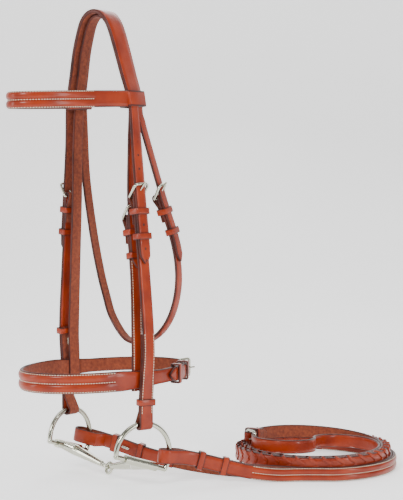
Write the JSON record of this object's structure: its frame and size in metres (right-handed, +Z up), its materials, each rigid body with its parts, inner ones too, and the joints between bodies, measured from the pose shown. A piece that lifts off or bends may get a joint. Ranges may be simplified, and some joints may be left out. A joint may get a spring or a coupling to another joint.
{
  "type": "snaffle bridle",
  "caption": "Horse bridle with buckled headpiece, browband, cavesson noseband, throatlatch, jointed eggbutt bit and laced reins coiled beside it.",
  "frame": {"origin": "underside of the sliphead at the middle of the crown, where the bridle rests on its support", "axes": "+X to the horse's near (left) side, -Y to the front (nose), +Z up along the hanging headstall"},
  "size_m": [0.2864, 0.4734, 0.524],
  "materials": {
    "leather": "glossy tan bridle leather with dark edges and pale stitching",
    "steel": "polished stainless steel and nickel"
  },
  "bodies": {
    "root": {"headpiece": "leather", "sliphead": "leather", "browband": "leather", "browband_raised_front": "leather", "near_cheekpiece": "leather", "off_cheekpiece": "leather", "near_noseband_hanger": "leather", "noseband": "leather", "noseband_raised_front": "leather", "throatlatch": "leather", "near_rein": "leather", "off_rein": "leather", "rein_coil": "leather", "rein_centre_join": "leather", "near_cheek_keeper": "leather", "off_cheek_keeper": "leather", "hanger_keeper": "leather", "throat_keeper": "leather", "chin_keeper": "leather", "near_cheek_bit_keepers": "leather", "off_cheek_bit_keepers": "leather", "near_rein_keepers": "leather", "off_rein_keepers": "leather", "rein_centre_keeper": "leather", "near_cheek_buckle": "steel", "off_cheek_buckle": "steel", "hanger_buckle": "steel", "throat_buckle": "steel", "chin_buckle": "steel", "rein_centre_buckle": "steel", "near_cheek_stud": "steel", "off_cheek_stud": "steel", "near_rein_stud": "steel", "off_rein_stud": "steel"},
    "near_cheek_tongue": {"near_cheek_tongue": "steel"},
    "off_cheek_tongue": {"off_cheek_tongue": "steel"},
    "hanger_tongue": {"hanger_tongue": "steel"},
    "throat_tongue": {"throat_tongue": "steel"},
    "chin_tongue": {"chin_tongue": "steel"},
    "rein_centre_tongue": {"rein_centre_tongue": "steel"},
    "near_cheek_runner": {"near_cheek_runner": "leather"},
    "off_cheek_runner": {"off_cheek_runner": "leather"},
    "hanger_runner": {"hanger_runner": "leather"},
    "throat_runner": {"throat_runner": "leather"},
    "chin_runner": {"chin_runner": "leather"},
    "near_ring": {"near_bit_ring": "steel"},
    "off_ring": {"off_bit_ring": "steel"},
    "near_cannon": {"near_cannon": "steel"},
    "off_cannon": {"off_cannon": "steel"}
  },
  "joints": [
    {"name": "near_cheek_tongue_lift", "type": "hinge", "parent": "root", "child": "near_cheek_tongue", "pos_m": [0.04997, 0.00938, -0.1976], "axis": [-0.1221, 0.9925, -0.0086], "range_deg": [0, 12]},
    {"name": "off_cheek_tongue_lift", "type": "hinge", "parent": "root", "child": "off_cheek_tongue", "pos_m": [-0.04693, -0.00449, -0.19753], "axis": [0.0007, -1, -0.0084], "range_deg": [0, 12]},
    {"name": "hanger_tongue_lift", "type": "hinge", "parent": "root", "child": "hanger_tongue", "pos_m": [0.03329, 0.01311, -0.222], "axis": [-0.0276, 0.9973, -0.0684], "range_deg": [0, 2]},
    {"name": "throat_tongue_lift", "type": "hinge", "parent": "root", "child": "throat_tongue", "pos_m": [0.04108, 0.04773, -0.19909], "axis": [-0.3771, 0.9021, 0.2096], "range_deg": [0, 12]},
    {"name": "chin_tongue_lift", "type": "hinge", "parent": "root", "child": "chin_tongue", "pos_m": [0.02838, 0.09105, -0.395], "axis": [0, 0, -1], "range_deg": [0, 12]},
    {"name": "rein_centre_tongue_lift", "type": "hinge", "parent": "root", "child": "rein_centre_tongue", "pos_m": [0.03535, 0.19106, -0.487], "axis": [0, 0, 1], "range_deg": [0, 12]},
    {"name": "near_cheek_runner_slide", "type": "slide", "parent": "root", "child": "near_cheek_runner", "axis": [-0.1171, -0.0069, 0.9931], "range_m": [-0.006, 0.006]},
    {"name": "off_cheek_runner_slide", "type": "slide", "parent": "root", "child": "off_cheek_runner", "axis": [0.1201, -0.0201, 0.9926], "range_m": [-0.006, 0.006]},
    {"name": "hanger_runner_slide", "type": "slide", "parent": "root", "child": "hanger_runner", "axis": [-0.1991, 0.075, 0.9771], "range_m": [-0.006, 0.006]},
    {"name": "throat_runner_slide", "type": "slide", "parent": "root", "child": "throat_runner", "axis": [-0.1328, -0.2493, 0.9593], "range_m": [-0.006, 0.006]},
    {"name": "chin_runner_slide", "type": "slide", "parent": "root", "child": "chin_runner", "axis": [-0.4108, 0.9117, 0], "range_m": [-0.006, 0.006]},
    {"name": "near_ring_swing", "type": "hinge", "parent": "root", "child": "near_ring", "pos_m": [0.06675, 0.005, -0.4435], "axis": [0.1736, 0.9848, 0], "range_deg": [-1, 4]},
    {"name": "off_ring_swing", "type": "hinge", "parent": "root", "child": "off_ring", "pos_m": [-0.06675, 0.005, -0.4435], "axis": [-0.1736, 0.9848, 0], "range_deg": [-4, 1]},
    {"name": "near_cannon_fold", "type": "hinge", "parent": "near_ring", "child": "near_cannon", "pos_m": [0.0662, 0.00188, -0.4865], "axis": [0.1651, 0.9366, -0.309], "range_deg": [-12.9, 3.3]},
    {"name": "off_cannon_fold", "type": "hinge", "parent": "off_ring", "child": "off_cannon", "pos_m": [-0.0662, 0.00188, -0.4865], "axis": [-0.1651, 0.9366, -0.309], "range_deg": [-3.3, 12.9]}
  ],
  "couplings": [
    {"joint": "off_ring_swing", "follows": "near_ring_swing", "ratio": -1},
    {"joint": "near_cannon_fold", "follows": "near_ring_swing", "ratio": -3.2},
    {"joint": "off_cannon_fold", "follows": "near_ring_swing", "ratio": 3.2}
  ]
}
